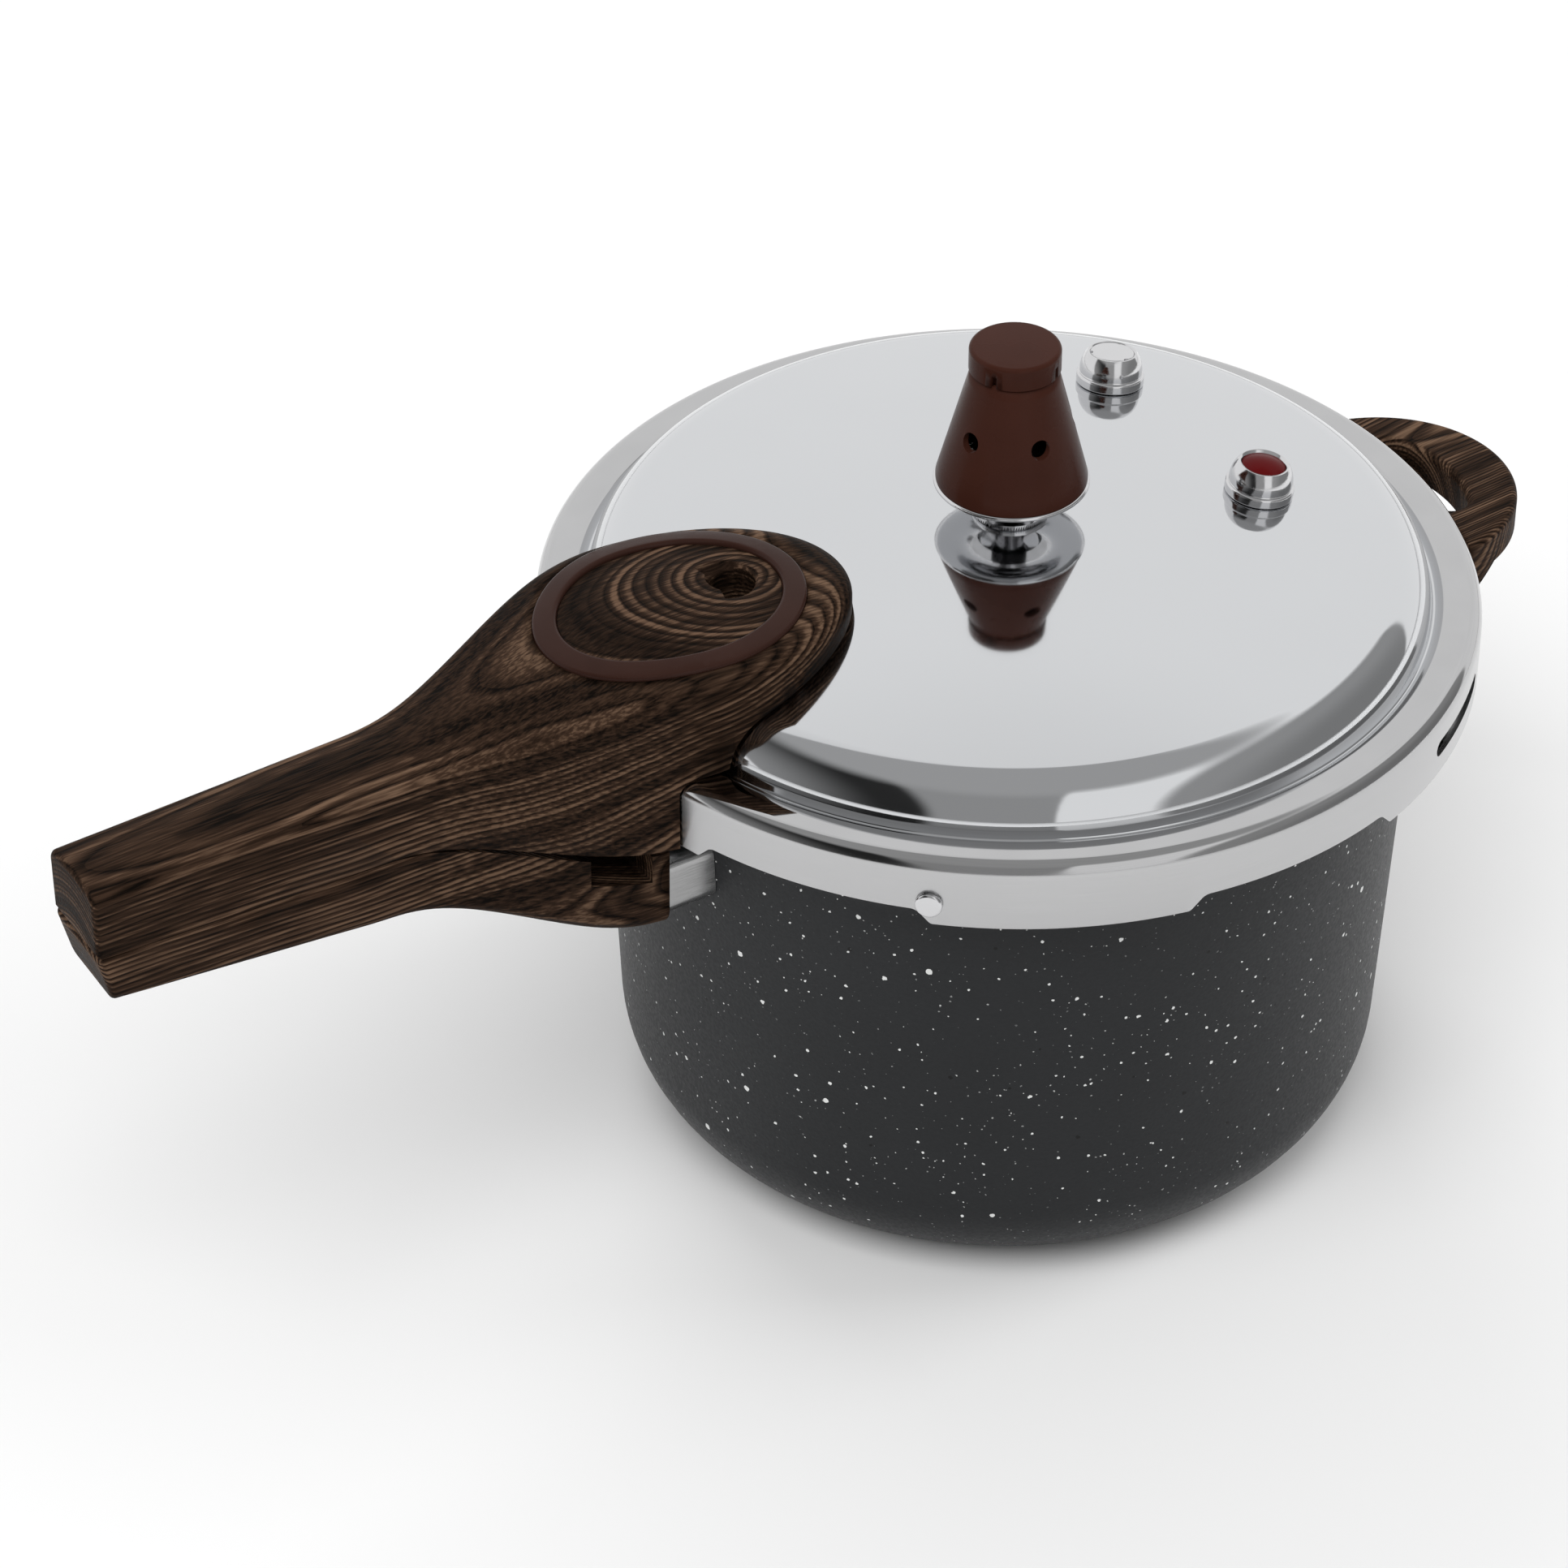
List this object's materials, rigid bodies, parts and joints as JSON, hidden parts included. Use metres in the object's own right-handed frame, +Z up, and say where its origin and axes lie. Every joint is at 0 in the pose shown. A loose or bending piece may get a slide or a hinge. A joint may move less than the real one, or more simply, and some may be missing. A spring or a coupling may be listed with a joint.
{
  "type": "stovetop pressure cooker",
  "caption": "Stovetop pressure cooker with a speckled dark pot, a polished bayonet lid that turns, woodgrain handles, a lifting weight and two valves",
  "frame": {"origin": "centre of the pot's flat underside, on the surface it stands on", "axes": "+Z up along the pot's axis; the long handles point along -X and the helper handle along +X; lid turned fully closed"},
  "size_m": [0.443, 0.256, 0.238],
  "materials": {
    "speckled_coating": "satin dark grey coating with small white and grey flecks",
    "polished_aluminium": "mirror-polished pressed sheet with faint radial wiping marks",
    "woodgrain": "satin moulded handle with a long flowing dark woodgrain film",
    "brown_gloss": "glossy dark brown moulding",
    "red_gloss": "glossy red moulding",
    "bright_steel": "polished turned or pressed metal",
    "plain_steel": "plain turned steel",
    "seal_rubber": "soft pale grey rubber"
  },
  "bodies": {
    "pot": {"pot_body": "speckled_coating", "lower_handle_bracket": "bright_steel", "lower_bracket_rivets": "plain_steel", "lower_handle": "woodgrain", "lower_handle_screw": "plain_steel", "helper_bracket": "bright_steel", "helper_bracket_rivets": "plain_steel", "helper_handle": "woodgrain", "helper_handle_screw": "plain_steel"},
    "lid": {"lid_shell": "polished_aluminium", "sealing_ring": "seal_rubber", "lid_bracket": "plain_steel", "lid_bracket_rivets": "plain_steel", "stop_rivet": "bright_steel", "upper_handle": "woodgrain", "upper_handle_screws": "plain_steel", "head_screw_seal": "seal_rubber", "trim_ring": "brown_gloss", "oval_cover": "woodgrain", "vent_pipe": "bright_steel", "vent_nut": "plain_steel", "vent_strainer": "bright_steel", "indicator_housing": "bright_steel", "indicator_nut": "plain_steel", "relief_housing": "bright_steel", "relief_nut": "plain_steel", "relief_spring": "plain_steel", "relief_plug": "bright_steel", "interlock_bush": "plain_steel", "interlock_nut": "plain_steel"},
    "weight": {"weight_core": "bright_steel", "weight_bonnet": "brown_gloss", "weight_cap": "brown_gloss"},
    "indicator": {"indicator_float": "red_gloss"},
    "relief": {"relief_piston": "plain_steel"},
    "interlock": {"interlock_pin": "bright_steel"}
  },
  "joints": [
    {"name": "lid_turn", "type": "hinge", "parent": "pot", "child": "lid", "pos_m": [0, 0, 0.15], "axis": [0, 0, 1], "range_deg": [0, 30]},
    {"name": "weight_lift", "type": "slide", "parent": "lid", "child": "weight", "axis": [0, 0, 1], "range_m": [0, 0.015]},
    {"name": "indicator_rise", "type": "slide", "parent": "lid", "child": "indicator", "axis": [0.1182, -0.0395, 0.9922], "range_m": [0, 0.005]},
    {"name": "relief_lift", "type": "slide", "parent": "lid", "child": "relief", "axis": [0.1124, 0.0817, 0.9903], "range_m": [0, 0.001], "stiffness_N_per_m": 600, "springref_m": -0.002, "deforming": ["relief_spring"]},
    {"name": "interlock_rise", "type": "slide", "parent": "lid", "child": "interlock", "axis": [-0.1524, 0, 0.9883], "range_m": [0, 0.005]}
  ]
}
